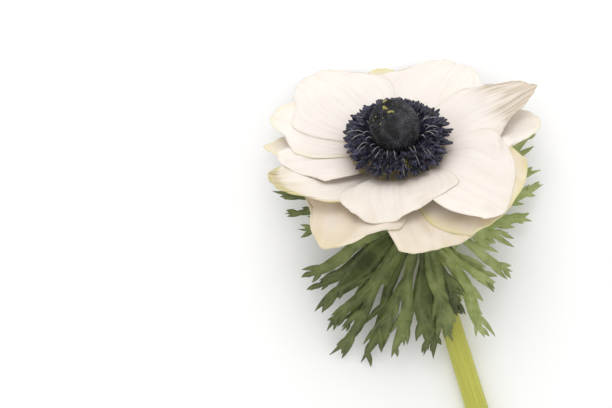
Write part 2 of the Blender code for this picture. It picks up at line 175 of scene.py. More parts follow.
# Stem: its swollen top as (height, radius) in the bloom's frame, and then its middle and radius as it lies.
STEM_SIDES = 48
STEM_STEPS = 10
STEM_RIDGES = 12
STEM_RIDGE = 0.05
STEM_RIDGE_TURN = 0.02
STEM_LENGTH = 160
RECEPTACLE = ((-0.95, 7.5), (-1.5, 7.6), (-1.9, 5.1), (-9.6, 4.9), (-11, 3.5), (-12.5, 3))
WHORL = Vector((8, -21.5, 13.2))
STEM_PATH = (
    (3.6, -14.4, 17.9, 2.95), (*WHORL, 3), (11.2, -32, 9.2, 3.05), (14.6, -44, 6.2, 3.15),
    (18.4, -56.5, 4.4, 3.25), (22.3, -69, 3.6, 3.35), (26, -81, 3.42, 3.42), (31.6, -100, 3.5, 3.5),
    (37.6, -120, 3.6, 3.6), (43, -138, 3.7, 3.7),
)
# The cut end's rings as (share of the radius, depth), and how deep its middle is.
CUT_RINGS = ((0.86, 0), (0.62, 0.12), (0.3, 0.3))
CUT_DEPTH = 0.35

# Leaves. A lobe is its direction, its length, how far it bends, its greatest width and how many side points
# it has. Side points and teeth are small blades along its rib.
LEAF_THICKNESS = 0.34
LEAF_LOWEST = 1.2
STEM_CLEARANCE = 0.4
LEAF_START = 4.2
STALK_RADIUS = 2.6
LOBES_PER_SHEET = 2
LOBE_STEP = 0.95
LOBE_STEPS = 21
LOBE_SWING = 11
SLIM = 0.76
SIDE_POINT = dict(start=0.44, span=0.36, angle=(17, 33), length=(6.5, 11), width=(1.5, 2.2), bend=14,
                  foot=0.9, peak=0.4, steps=9)
TOOTH = dict(start=0.66, span=0.28, angle=(22, 42), length=(2.8, 5.2), width=(1.2, 1.8), bend=20,
             foot=1, peak=0.3, steps=6)
TOOTH_COUNT = 4
PLEAT = 0.34
PLEAT_REACH = 2.2
ROLL_REACH = 3
SHEET_LEVEL = 0.8
SHEET_DROOP = (-5, 5)
LOBE_DROOP = (-9, 7)
LOBE_ROLL = (-22, 22)
PALE_SPREAD = (-0.3, 0.3)
RIB_WIDTH = 0.22
# How far a leaf's profile goes, the lengths over which its slope, droop and relief build up, and its bumps.
LEAF_REACH = 66
SLOPE_LENGTH = 50
DROOP_LENGTH = 45
RELIEF_LENGTH = 14
LEAF_BUMP = 1.1
LEAVES = {
    "leaf_right": dict(height=13.2, palm=14, slope=(0, -14, -22), pale=1.1, seed=4, lobes=(
        (-59, 42, -6, 5.2, 4), (-47, 30, 4, 2.8, 1), (-43, 32, 2, 3.6, 2), (-33, 33, 2, 3.8, 2),
        (-18, 24, 4, 2.6, 2), (-12, 27, 0, 3.2, 2), (-2, 35, 2, 4.2, 3), (11, 40, 4, 3.8, 3),
        (22, 39, 3, 3.6, 2), (34, 45, 4, 3.8, 3),
    )),
    "leaf_left": dict(height=15, palm=18, slope=(4, -18, -28), pale=0.05, seed=7, lobes=(
        (150, 38, 0, 3.4, 2), (162, 42, 0, 3.8, 3), (168, 47, 3, 3.6, 4), (177, 42, 0, 3.4, 2),
        (186, 38, 0, 3.2, 2), (206, 42, 6, 4.6, 2), (213, 41, 6, 4.4, 2), (221, 44, 2, 4.4, 3),
    )),
    "leaf_front": dict(height=16.8, palm=23, slope=(6, -20, -34), pale=0.12, seed=12, lobes=(
        (229, 47, 4, 4.4, 3), (243, 54, -9, 4.2, 3), (236, 43, -2, 4, 2), (249, 50, 3, 4.6, 4),
        (254, 44, -3, 4.4, 2), (261, 45, -2, 5, 3), (269, 42, 8, 4.4, 3), (277, 45, 0, 4.6, 3),
        (280, 40, 6, 4.6, 3), (281, 36, 13, 4, 2), (281, 33, 26, 4, 3), (280, 29, 38, 3.8, 2),
    )),
}

# Colours in linear light. A pair is a darker and a lighter tone, which clouds mix.
PETAL_TONES = ((0.852, 0.782, 0.718), (0.883, 0.818, 0.764))
# Cream, partly the lower petals' own colour and partly painted shade on them.
PETAL_CREAM_AND_SHADE = (0.66, 0.555, 0.42)
PETAL_VEIN = (0.62, 0.50, 0.44)
# Painted shade round the stamens: mauve, and olive nearest them.
PETAL_MAUVE_SHADE = (0.52, 0.38, 0.30)
PETAL_OLIVE_SHADE = (0.27, 0.22, 0.06)
PETAL_RIM = (0.74, 0.68, 0.30)
# Brown of worn margins, also the painted grey-brown shade on tips and curled ends.
PETAL_WEAR_AND_SHADE = (0.36, 0.27, 0.15)
DOME_TONES = ((0.010, 0.010, 0.011), (0.080, 0.080, 0.096))
ANTHER_TONES = ((0.010, 0.010, 0.022), (0.065, 0.060, 0.110))
POLLEN_COLOUR = (0.42, 0.38, 0.12)
FILAMENT_COLOUR = (0.05, 0.04, 0.08)
PALE_FILAMENT_COLOUR = (0.46, 0.44, 0.42)
LEAF_TONES = ((0.042, 0.060, 0.013), (0.118, 0.152, 0.034))
LEAF_PALE_TONES = ((0.20, 0.26, 0.06), (0.42, 0.47, 0.19))
LEAF_TIP = (0.10, 0.10, 0.035)
LEAF_RIB = (0.40, 0.43, 0.22)
STEM_TONES = ((0.42, 0.42, 0.055), (0.56, 0.55, 0.10))
CUT_COLOUR = (0.55, 0.56, 0.26)
FLOOR_COLOUR = (0.97, 0.97, 0.97)

# Light from above the bloom's face, an even sky, and a camera straight above the lying flower.
KEY_DISTANCE = 600
KEY_SHIFT = Vector((-30, 0, 160))
KEY_SIZE = 420
KEY_ENERGY = 1.6
SKY_STRENGTH = 0.92
FLOOR_HALF = 2500
CAMERA_DISTANCE = 490
CAMERA_SHIFT = Vector((-26.2, -17.6, 0))
FRAME_WIDTH = 176.256
SENSOR = 36


# ---- shared forms

def direction(turn, rise=0):
    """A direction turned about the axis and raised above its level, both in radians."""
    return Vector((cos(turn) * cos(rise), sin(turn) * cos(rise), sin(rise)))


def bloom_axes():
    """The bloom's three directions in the world."""
    right = direction(radians(BLOOM_ROLL))
    axis = direction(radians(BLOOM_ROLL + 90), radians(BLOOM_TILT))
    return right, axis.cross(right), axis


RIGHT, BACK, AXIS = bloom_axes()
BLOOM_MIDDLE = HOME + UP * BLOOM_HEIGHT


def from_bloom(point):
    """A point of the bloom's frame, placed in the world."""
    return BLOOM_MIDDLE + RIGHT * point.x + BACK * point.y + AXIS * point.z


def smooth(value):
    """A value held between 0 and 1, with a soft start and end."""
    value = min(max(value, 0), 1)
    return value * value * (3 - 2 * value)


def fade(distance, length):
    return exp(-distance / length)


def slope_at(slopes, s):
    """The slope in radians at a share of the length, eased between those at the base, middle and end."""
    first, second, third = (radians(angle) for angle in slopes)
    return (1 - s) ** 2 * first + 2 * s * (1 - s) * second + s * s * third


def cubic(values, place):
    """A smooth curve through evenly spaced values."""
    index = min(int(place), len(values) - 2)
    x = place - index
    before = values[max(index - 1, 0)]
    first = values[index]
    second = values[index + 1]
    after = values[min(index + 2, len(values) - 1)]
    return first + 0.5 * x * (second - before + x * (2 * before - 5 * first + 4 * second - after
                                                     + x * (3 * (first - second) + after - before)))


def samples(points, triangles):
    """Spots over a surface, each with the corners that move it."""
    spots = [(point, (number,)) for number, point in enumerate(points)]
    for triangle in triangles:
        corners = [points[corner] for corner in triangle]
        spots.append((sum(corners, Vector()) / 3, triangle))
        for first, second in ((0, 1), (1, 2), (2, 0)):
            spots.append(((corners[first] + corners[second]) / 2, (triangle[first], triangle[second])))
    return spots


def drape(points, triangles, below, clearance, rounds=30):
    """Lifts a surface until it clears each surface in below, spreading each lift over its neighbours."""
    neighbours = [set() for _ in points]
    for triangle in triangles:
        for corner in triangle:
            neighbours[corner].update(triangle)
    under = [(BVHTree.FromPolygons(spots, faces), samples(spots, faces)) for spots, faces in below]

    def raise_corners(corners, normal, gap):
        short = clearance / max(abs(normal.z), STEEPEST_NORMAL) - gap
        for corner in corners:
            lifts[corner] = max(lifts[corner], short)

    for _ in range(rounds):
        lifts = [0] * len(points)
        own = BVHTree.FromPolygons(points, triangles)
        for point, corners in samples(points, triangles):
            for tree, _ in under:
                hit, normal, _, _ = tree.ray_cast(point + UP * RAY_START, -UP)
                if hit:
                    raise_corners(corners, normal, (point - hit).z)
        for _, spots in under:
            for spot, _ in spots:
                hit, normal, face, _ = own.ray_cast(spot - UP * RAY_START, UP)
                if hit:
                    raise_corners(triangles[face], normal, (hit - spot).z)
        if max(lifts) < LIFT_IGNORED:
            break
        for _ in range(2):
            lifts = [max(lift, LIFT_SPREAD * sum(lifts[other] for other in near) / len(near))
                     for lift, near in zip(lifts, neighbours)]
        points = [point + UP * lift for point, lift in zip(points, lifts)]
    return points


def frames(points):
    """For each point of a path, two directions square to the path that don't turn about it."""
    side = None
    for index in range(len(points)):
        ahead = (points[min(index + 1, len(points) - 1)] - points[max(index - 1, 0)]).normalized()
        if side is None:
            side = ahead.orthogonal().normalized()
        side = (side - ahead * side.dot(ahead)).normalized()
        yield side, ahead.cross(side)


def wall_faces(rings, sides):
    """Faces between rings of points that follow each other."""
    faces = []
    for ring in range(rings - 1):
        for number in range(sides):
            here = ring * sides + number
            beside = ring * sides + (number + 1) % sides
            faces.append((here, beside, beside + sides, here + sides))
    return faces


def tube(points, radii, sides, squash=1, lobes=0):
    """A closed tube round a path. squash flattens it, and lobes gives its section two lobes."""
    found = []
    for point, radius, (side, over) in zip(points, radii, frames(points)):
        for number in range(sides):
            angle = 2 * pi * number / sides
            here = radius * (1 + lobes * cos(2 * angle))
            found.append(point + side * (cos(angle) * here) + over * (sin(angle) * here * squash))
    ends = [tuple(range(sides))[::-1], tuple(range(len(found) - sides, len(found)))]
    return found, wall_faces(len(points), sides) + ends


# ---- materials

class Paint:
    """A new material, and short ways to add nodes to it."""

    def __init__(self, name, settings):
        self.material = bpy.data.materials.new(name)
        self.material.use_nodes = True
        self.shader = self.material.node_tree.nodes["Principled BSDF"]
        self.fill(self.shader, settings)

    def fill(self, node, inputs):
        """Links a node's inputs to the sockets given for them, or sets them to the values."""
        for key, value in inputs.items():
            if isinstance(value, bpy.types.NodeSocket):
                self.material.node_tree.links.new(value, node.inputs[key])
            else:
                node.inputs[key].default_value = value

    def add(self, kind, inputs, **settings):
        node = self.material.node_tree.nodes.new(kind)
        for key, value in settings.items():
            setattr(node, key, value)
        self.fill(node, inputs)
        return node

    def place(self):
        return self.add("ShaderNodeTexCoord", {}).outputs["Object"]

    def times(self, first, second):
        return self.add("ShaderNodeMath", {0: first, 1: second}, operation="MULTIPLY").outputs[0]

    def plus(self, first, second):
        return self.add("ShaderNodeMath", {0: first, 1: second}, operation="ADD").outputs[0]

    def cloud(self, place, scale, detail, roughness=0.5):
        inputs = {"Vector": place, "Scale": scale, "Detail": detail, "Roughness": roughness}
        return self.add("ShaderNodeTexNoise", inputs).outputs["Fac"]

    def streaks(self, layer, across, along, shift=0):
        """Streaks that run along a piece, from its own texture layer."""
        uv = self.add("ShaderNodeUVMap", {}, uv_map=layer).outputs["UV"]
        u, v, _ = self.add("ShaderNodeSeparateXYZ", {"Vector": uv}).outputs
        place = {"X": self.times(u, across), "Y": self.times(v, along), "Z": shift}
        return self.cloud(self.add("ShaderNodeCombineXYZ", place).outputs[0], 1, 4, 0.6)

    def ramp(self, source, *stops):
        """A source turned into greys by (place, grey) stops."""
        node = self.add("ShaderNodeValToRGB", {"Fac": source})
        elements = node.color_ramp.elements
        while len(elements) < len(stops):
            elements.new(0.5)
        for element, (place, grey) in zip(elements, stops):
            element.position = place
            element.color = (grey, grey, grey, 1)
        return node.outputs["Color"]

    def mix(self, factor, first, second):
        """A colour that goes from the first to the second. Each is a socket or a plain colour."""
        first, second = (value if isinstance(value, bpy.types.NodeSocket) else (*value, 1)
                         for value in (first, second))
        return self.add("ShaderNodeMix", {0: factor, 6: first, 7: second}, data_type="RGBA").outputs[2]

    def tint(self):
        """The mesh's own four values: red, green, blue and alpha."""
        tint = self.add("ShaderNodeAttribute", {}, attribute_name="tint").outputs
        return *self.add("ShaderNodeSeparateColor", {"Color": tint["Color"]}).outputs, tint["Alpha"]

    def finish(self, colour, height=None, strength=0, depth=0):
        """The material with its colour and, where a height is given, a fine relief, its depth in metres."""
        self.fill(self.shader, {"Base Color": colour})
        if height:
            bump = self.add("ShaderNodeBump", {"Height": height, "Strength": strength, "Distance": depth})
            self.fill(self.shader, {"Normal": bump.outputs["Normal"]})
        return self.material


def petal_material():
    """Waxy white with fine veins, painted mauve and olive shade round the stamens, and a yellow-green rim,
    cream that is partly painted shade, and brown wear with painted grey-brown shade where the mesh says so.
    """
    paint = Paint("petal_white", {
        "Roughness": 0.6, "Specular IOR Level": 0.2, "Subsurface Weight": 0.25,
        "Subsurface Radius": (1, 0.9, 0.8), "Subsurface Scale": 0.0006,
    })
    rim, foot, wear_and_shade, cream_and_shade = paint.tint()
    own = paint.add("ShaderNodeObjectInfo", {}).outputs["Random"]
    streaks = paint.streaks("petal", 30, 1.6, paint.times(own, 50))
    veins = paint.ramp(streaks, (0.48, 0), (0.72, 1))
    place = paint.place()
    clouds = paint.ramp(paint.cloud(place, 90, 3), (0.35, 0), (0.7, 1))
    colour = paint.mix(clouds, *PETAL_TONES)
    # Cream, partly painted shade on the lower petals.
    colour = paint.mix(cream_and_shade, colour, PETAL_CREAM_AND_SHADE)
    colour = paint.mix(paint.times(veins, paint.plus(paint.times(foot, 0.5), 0.2)), colour, PETAL_VEIN)
    # Painted shade round the stamens: mauve, then olive nearest them.
    colour = paint.mix(paint.ramp(foot, (0, 0), (0.5, 0.35), (1, 0.8)), colour, PETAL_MAUVE_SHADE)
    colour = paint.mix(paint.ramp(foot, (0.75, 0), (1, 0.6)), colour, PETAL_OLIVE_SHADE)
    colour = paint.mix(paint.times(rim, paint.plus(paint.times(clouds, 0.4), 0.6)), colour, PETAL_RIM)
    # Brown wear, with painted grey-brown shade on tips and curled ends.
    colour = paint.mix(paint.times(wear_and_shade, paint.plus(paint.times(veins, 0.6), 0.4)), colour, PETAL_WEAR_AND_SHADE)
    grain = paint.cloud(place, 2600, 2)
    return paint.finish(colour, paint.plus(streaks, paint.times(grain, 0.2)), strength=0.3, depth=0.0004)


def dark_material(name, tones, roughness):
    """Near-black plant tissue that shows a lighter tone in patches."""
    paint = Paint(name, {
        "Roughness": roughness, "Specular IOR Level": 0.4, "Sheen Weight": 0.12, "Sheen Roughness": 0.4,
    })
    place = paint.place()
    clouds = paint.ramp(paint.cloud(place, 420, 4), (0.45, 0), (0.72, 1))
    grain = paint.cloud(place, 3000, 2)
    return paint.finish(paint.mix(clouds, *tones), grain, strength=0.35, depth=0.0002)


def plain_material(name, colour, roughness):
    """One colour with slightly darker clouds."""
    paint = Paint(name, {"Roughness": roughness})
    clouds = paint.ramp(paint.cloud(paint.place(), 600, 3), (0.35, 0), (0.65, 1))
    return paint.finish(paint.mix(clouds, [0.6 * part for part in colour], colour))


def leaf_material():
    """Green leaf with paler ribs. The mesh says where the ribs are, how pale a lobe is, with painted shade
    that darkens the lower sheets, and where it ends.
    """
    paint = Paint("leaf_green", {
        "Roughness": 0.5, "Specular IOR Level": 0.3, "Subsurface Weight": 0.1,
        "Subsurface Radius": (0.6, 0.9, 0.3), "Subsurface Scale": 0.0008,
    })
    rib, pale, tip, _ = paint.tint()
    place = paint.place()
    clouds = paint.ramp(paint.cloud(place, 150, 5, 0.6), (0.36, 0), (0.64, 1))
    colour = paint.mix(pale, paint.mix(clouds, *LEAF_TONES), paint.mix(clouds, *LEAF_PALE_TONES))
    colour = paint.mix(paint.times(tip, 0.3), colour, LEAF_TIP)
    colour = paint.mix(paint.times(rib, 0.14), colour, LEAF_RIB)
    return paint.finish(colour, paint.cloud(place, 1500, 3), strength=0.4, depth=0.0003)


def stem_material():
    """Juicy yellow-green stem with fine lengthwise streaks."""
    paint = Paint("stem_green", {
        "Roughness": 0.42, "Subsurface Weight": 0.25, "Subsurface Radius": (1, 1, 0.3),
        "Subsurface Scale": 0.0015,
    })
    streaks = paint.streaks("stem", 26, 9)
    colour = paint.mix(paint.ramp(streaks, (0.38, 0), (0.66, 1)), *STEM_TONES)
    return paint.finish(colour, streaks, strength=0.3, depth=0.0004)


# ---- making pieces

def add_object(name, data):
    made = bpy.data.objects.new(name, data)
    bpy.context.scene.collection.objects.link(made)
    return made


def add_piece(node, points, faces, materials, uv=None, tint=None, indices=None, thickness=None):
    """A finished piece in place of the CAD node. uv names a texture layer and has its place for each point,
    tint has a colour for each point, and indices a material for each face. thickness makes a sheet solid."""
    name = node + "_look"
    mesh = bpy.data.meshes.new(name)
    mesh.from_pydata([point * MM for point in points], [], faces)
    for made in materials:
        mesh.materials.append(made)
    for face in mesh.polygons:
        face.use_smooth = True
    if indices:
        mesh.polygons.foreach_set("material_index", indices)
    if uv:
        layer = mesh.uv_layers.new(name=uv[0])
        for loop in mesh.loops:
            layer.data[loop.index].uv = uv[1][loop.vertex_index]
    if tint:
        colours = mesh.color_attributes.new("tint", "FLOAT_COLOR", "POINT")
        for number, value in enumerate(tint):
            colours.data[number].color = value
    made = add_object(name, mesh)
    if thickness:
        solidify = made.modifiers.new("thickness", "SOLIDIFY")
        solidify.thickness = thickness * MM
        solidify.offset = 0
    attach(made, "root")
    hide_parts(node)


def shifted(faces, first):
    """Faces whose points now come after others."""
    return [tuple(first + corner for corner in face) for face in faces]


def add_joined(node, shapes, materials):
    """A piece of many small shapes of the bloom, each (points, faces) with the number of its material."""
    points, faces, indices = [], [], []
    for (own_points, own_faces), index in shapes:
        faces += shifted(own_faces, len(points))
        points += [from_bloom(point) for point in own_points]
        indices += [index] * len(own_faces)
    add_piece(node, points, faces, materials, indices=indices)


# ---- petals

def middle_line(form, steps=40):
    """Points and directions along a petal's middle, from its base to its tip."""
    turn = radians(form["turn"])
    point = direction(turn) * PETAL_BASE_RADIUS
    point.z = form["level"]
    line = []
    for step in range(steps + 1):
        ahead = direction(turn, slope_at(form["slope"], step / steps))
        line.append((point.copy(), ahead))
        point += ahead * (form["length"] / steps)
    return line


def petal_half_width(form, s):
    base = PETAL_BASE_WIDTH / form["width"]
    rise = sin(pi / 2 * min(s / PETAL_WIDEST, 1))
    fall = 1 - form["taper"] * smooth((s - PETAL_WIDEST) / (1 - PETAL_WIDEST)) ** 1.3
    return form["width"] / 2 * (base + (1 - base) * rise) * fall


def petal_point(form, line, s, t, extra=0):
    """A point of the petal's middle surface. s runs from base to tip, and t from edge to edge, -1 to 1."""
    reach = 1 - form["drop"] * abs(t) ** form["blunt"] * s ** 2
    reach += form["point"] * max(0, 1 - abs(t) * 3) * s ** 4
    reach *= 1 + form["skew"] * t
    along = s * reach * (len(line) - 1)
    index = min(int(along), len(line) - 2)
    part = along - index
    start, ahead = line[index]
    end, ahead_end = line[index + 1]
    middle = start + (end - start) * part
    ahead = (ahead * (1 - part) + ahead_end * part).normalized()
    side = UP.cross(ahead).normalized()
    normal = ahead.cross(side)
    twist = radians(form["twist"]) * s
    side, normal = (side * cos(twist) + normal * sin(twist),
                    normal * cos(twist) - side * sin(twist))
    lift = extra + form["cup"] * t * t * smooth(s * 1.6)
    lift += form["wave"] * sin(7 * s + 3.1 * t + 1) * abs(t) ** 1.5 * s
    return middle + side * (petal_half_width(form, s) * t) + normal * lift


def grid_triangles(rows, columns):
    """Triangles of a net of points, with the diagonals mirrored about its middle."""
    triangles = []
    for row in range(rows):
        for column in range(columns):
            near = row * (columns + 1) + column
            far = near + columns + 1
            if column < columns / 2:
                triangles += [(near, far, near + 1), (near + 1, far, far + 1)]
            else:
                triangles += [(near, far, far + 1), (near, far + 1, near + 1)]
    return triangles


def net_places(rows, columns):
    """The row, column, s and t of each point of a net over a petal. Its rows lie closer towards the tip."""
    for row in range(rows + 1):
        for column in range(columns + 1):
            yield row, column, (row / rows) ** 0.9, 2 * column / columns - 1


def petal_detail(form, own, s, t):
    """How far a fine point stands off the plain surface: ripples, a wavy margin, folds and vein ridges."""
    ripple = noise.noise(Vector((s * 3.2, t * 2.2, own * 7.3)))
    margin = noise.noise(Vector((s * 7, t * 5, own * 3.1 + 5)))
    ridges = noise.noise(Vector((t * 16, s * 1.1, own * 11.7)))
    lift = RIPPLE * ripple * s + MARGIN_WAVE * margin * smooth(s * 1.2) * max(abs(t), s) ** 3
    for across, depth, width in form["folds"]:
        path = across * (0.4 + 0.6 * s) + 0.05 * sin(5 * s + 9 * across)
        lift -= depth * exp(-((t - path) / width) ** 2) * smooth(s * 1.5 - 0.2)
    return lift + VEIN_RIDGE * ridges * smooth(s * 3) * (1 - 0.5 * s)


def petal_tint(form, own, spot, s, t):
    """How yellow-green a spot is, how much painted mauve and olive shade it has, how brown it is from wear
    and painted shade, and how creamy it is, partly as painted shade, for the material.
    """
    edge = max(min(1 - abs(t), (1 - s) * 1.3), 0)
    patches = min(max(0.5 + noise.noise(Vector((s * 5, t * 4, own * 2.3))), 0), 1)
    # Painted olive-brown shade at the end, standing in for a curled rim; the surface itself doesn't curl
    # there.
    curl_shade_here = form["curl_shade"] * smooth((s - CURL_SHADE_START) / 0.09)
    rim = form["rim"] * min(1, 0.6 * fade(edge, RIM_FADE) + 0.45 * patches * fade(edge, RIM_WIDE_FADE))
    wear_and_shade = form["wear_and_shade"] * patches * fade(edge, WEAR_AND_SHADE_FADE) * smooth(s * 1.6 - 0.3)
    # Painted grey-brown shade over the outer half, where a fold faces away from the light.
    wear_and_shade += form["tip"] * smooth((s - TIP_SHADE_START) / 0.42) * (0.3 + 0.7 * patches)
    wear_and_shade += CURL_SHADE_BROWN * curl_shade_here
    # Painted mauve and olive shade, fading outwards from under the stamens.
    beyond = max(hypot(spot.x, spot.y) - FOOT_SHADE_RADIUS, 0)
    foot = form["foot"] * (0.72 * fade(beyond, FOOT_SHADE_FADE) + 0.28 * fade(beyond, FOOT_SHADE_WIDE_FADE))
    # Cream, partly painted shade.
    cream_and_shade = form["cream_and_shade"] * (0.6 + 0.4 * patches) * smooth(s * 1.5)
    return max(rim, curl_shade_here), foot, min(wear_and_shade, 1), cream_and_shade


def settle(spots, below):
    """Rests fine points on the topmost surface beneath: clear of it everywhere, and close at the margin."""
    columns = FINE_COLUMNS + 1
    lifts = []
    for number, spot in enumerate(spots):
        hit = below.ray_cast(spot + UP * RAY_START, -UP)[0]
        if not hit:
            lifts.append(0)
            continue
        gap = (spot - hit).z
        row, column = divmod(number, columns)
        outmost = max(abs(2 * column / FINE_COLUMNS - 1), row / FINE_ROWS)
        margin = smooth((outmost - 0.72) / 0.25) * smooth((3.2 - gap) / 1.4)
        short = PETAL_CONTACT - gap
        lifts.append(short if short > 0 else short * margin)
    for turn in range(6):
        eased = []
        for number, lift in enumerate(lifts):
            row, column = divmod(number, columns)
            near = (lifts[number - columns * (row > 0)] + lifts[number + columns * (row < FINE_ROWS)]
                    + lifts[number - (column > 0)] + lifts[number + (column < FINE_COLUMNS)])
            average = (lift + near) / 5
            eased.append(average if turn < 3 else max(lift, average))
        lifts = eased
    found = []
    for spot, lift in zip(spots, lifts):
        spot = spot + UP * lift
        hit = below.ray_cast(spot + UP * RAY_START, -UP)[0]
        found.append(spot + UP * max(PETAL_CONTACT - (spot - hit).z, 0) if hit else spot)
    return found


def coarse_lifts(form, line, placed):
    """Lays a petal's coarse net over those placed so far and adds it to them. Gives the lifts, row by row."""
    triangles = grid_triangles(PETAL_ROWS, PETAL_COLUMNS)
    plain = [petal_point(form, line, s, t) for _, _, s, t in net_places(PETAL_ROWS, PETAL_COLUMNS)]
    points = drape(plain, triangles, placed, PETAL_CLEARANCE)
    placed.append((points, triangles))
    lifts = [(point - before).z for point, before in zip(points, plain)]
    wide = PETAL_COLUMNS + 1
    return [lifts[first:first + wide] for first in range(0, len(lifts), wide)]


def add_petals(made):
    """The petals, from the lowest up, each laid over those below it."""
    placed, all_spots, all_faces = [], [], []
    fine = grid_triangles(FINE_ROWS, FINE_COLUMNS)
    for number, (name, own) in enumerate(PETALS.items()):
        form = PETAL_COMMON | PETAL_LAYERS[name.split("_")[0]] | own
        line = middle_line(form)
        lift_rows = coarse_lifts(form, line, placed)
        spots, uvs, tints = [], [], []
        for row, column, s, t in net_places(FINE_ROWS, FINE_COLUMNS):
            down = [cubic(values, column / FINE_COLUMNS * PETAL_COLUMNS) for values in lift_rows]
            lift = cubic(down, row / FINE_ROWS * PETAL_ROWS)
            spot = petal_point(form, line, s, t, petal_detail(form, number, s, t)) + UP * lift
            spots.append(spot)
            uvs.append(((t + 1) / 2, s))
            tints.append(petal_tint(form, number, spot, s, t))
        if all_spots:
            spots = settle(spots, BVHTree.FromPolygons(all_spots, all_faces))
        all_faces += shifted(fine, len(all_spots))
        all_spots += spots
        add_piece("petal_" + name, [from_bloom(spot) for spot in spots], fine, [made],
                  uv=("petal", uvs), tint=tints, thickness=PETAL_THICKNESS)


# ---- centre

def dome_middle(height, above=0):
    """The dome's leaning middle at a height over its floor."""
    return Vector((CENTRE_LEAN * height, 0, CENTRE_FLOOR + height + above))


def centre_radius(height):
    """The dome's radius at a height over its floor, and how much it leans inwards there."""
    profile = CENTRE_PROFILE + ((0, CENTRE_TOP),)
    spans = zip(profile, profile[1:])
    (low_radius, low), (high_radius, high) = next(span for span in spans if height <= span[1][1])
    part = (height - low) / (high - low)
    return low_radius + (high_radius - low_radius) * part, (low_radius - high_radius) / (high - low)


def dome_core():
    heights = [CENTRE_TOP * sin(pi / 2 * row / CORE_ROWS) * 0.985 for row in range(CORE_ROWS + 1)]
    radii = [max(centre_radius(height)[0] - CORE_INSET, 0.4) for height in heights]
    return tube([dome_middle(height) for height in heights], radii, CORE_SIDES)


def even_heights(count):
    """Heights on the dome with the same area between each and the next."""
    reached = []
    total = 0
    for step in range(AREA_STEPS):
        height = CENTRE_TOP * (step + 0.5) / AREA_STEPS
        radius, lean = centre_radius(height)
        total += radius * sqrt(1 + min(lean, 6) ** 2)
        reached.append((total, height))
    return [next(height for area, height in reached if area >= (number + 0.5) / count * total)
            for number in range(count)]


def carpel(chance, number, height):
    """One blunt carpel that stands out of the dome."""
    radius, lean = centre_radius(height)
    out = direction(number * GOLDEN_TURN + chance.uniform(-0.05, 0.05))
    normal = (out + UP * lean).normalized()
    root = out * (radius - 0.25) + dome_middle(height)
    tip = normal * chance.uniform(*CARPEL_LENGTH) + UP * 0.06
    size = CARPEL_RADIUS * chance.uniform(0.85, 1.15)
    shares, widths = zip(*CARPEL_SHAPE)
    return tube([root + tip * share for share in shares], [size * width for width in widths], 6)


def pollen_grain(chance, height, angle):
    """One grain of pollen on the dome, at an angle in degrees."""
    spot = direction(radians(angle)) * (centre_radius(height)[0] + 0.25) + dome_middle(height, 0.25)
    size = chance.uniform(*GRAIN_RADIUS)
    along = Vector([chance.uniform(-1, 1) for _ in range(3)]).normalized() * size
    return tube([spot - along, spot, spot + along], [size * 0.5, size, size * 0.5], 5)


def add_centre(dark, pollen):
    """The dome: a core with small carpels standing all over it, and clumps of pollen."""
    chance = random.Random(11)
    shapes = [(dome_core(), 0)]
    for number, height in enumerate(even_heights(CARPEL_COUNT)):
        shapes.append((carpel(chance, number, height), 0))
    grains = [(chance.uniform(9.5, 14), chance.gauss(220, 60)) for _ in range(STRAY_GRAINS)]
    for height, angle, count in POLLEN_CLUMPS:
        grains += [(height + chance.gauss(0, 0.05), angle + chance.gauss(0, 9)) for _ in range(count)]
    shapes += [(pollen_grain(chance, height, angle), 1) for height, angle in grains]
    add_joined("centre_dome", shapes, [dark, pollen])


# ---- stamens

def stamen_path(chance, number):
    """A filament's points, and the way its anther points. It stands lower in front than at the back."""
    turn = 2 * pi * (number * GOLDEN_SHARE + chance.uniform(-0.02, 0.02))
    back = max(sin(turn), 0)
    front = max(-sin(turn), 0)
    row = chance.random()
    root = RING_RADIUS + chance.uniform(-0.5, 0.6)
    nearest, farthest = STAMEN_REACH
    widest = farthest + 1.6 * front - 2.2 * back
    reach = nearest + (widest - nearest - 1.2) * row ** 0.8 + chance.uniform(-0.5, 0.5)
    height = (3.6 + 3.2 * back) * (1 - row) + (4.3 - 4 * front + 0.7 * back) * row
    height += chance.gauss(0, 0.35)
    arch = 1.3 - 0.8 * back
    sway = chance.uniform(-0.12, 0.12)
    spots = []
    for step in range(FILAMENT_POINTS):
        s = step / (FILAMENT_POINTS - 1)
        out = root + (reach - root) * s ** 1.2
        angle = turn + sway * s
        up = height * s + 4 * arch * s * (1 - s) - 0.2
        spots.append(Vector((cos(angle) * out, sin(angle) * out, up)))
    rise = radians(55 * (1 - row) - 8 * front * row + chance.gauss(0, 12))
    toward = turn + sway + chance.gauss(0, 0.25)
    return spots, direction(toward, rise)


def stamen(chance, number):
    """A filament, and the two-lobed anther at its end."""
    spots, ahead = stamen_path(chance, number)
    radii = [FILAMENT_RADIUS - FILAMENT_TAPER * step for step in range(FILAMENT_POINTS)]
    length = ANTHER_LENGTH * chance.uniform(*ANTHER_SPREAD)
    width = ANTHER_WIDTH * chance.uniform(*ANTHER_SPREAD)
    start = spots[-1] - ahead * length * 0.35
    anther = tube([start + ahead * (length * place) for place, _ in ANTHER_SHAPE],
                  [width / 2 * part for _, part in ANTHER_SHAPE], 10, ANTHER_SQUASH, ANTHER_LOBES)
    return [(tube(spots, radii, 6), 1), (anther, 0)]


def loose_filament(chance, number):
    """The outer part of a bare, pale filament, arched over the anthers."""
    spots, _ = stamen_path(chance, number)
    spots = [spot + UP * (LOOSE_LIFT * sin(pi * step / FILAMENT_POINTS))
             for step, spot in enumerate(spots)][3:]
    return tube(spots, [LOOSE_RADIUS] * len(spots), 5)


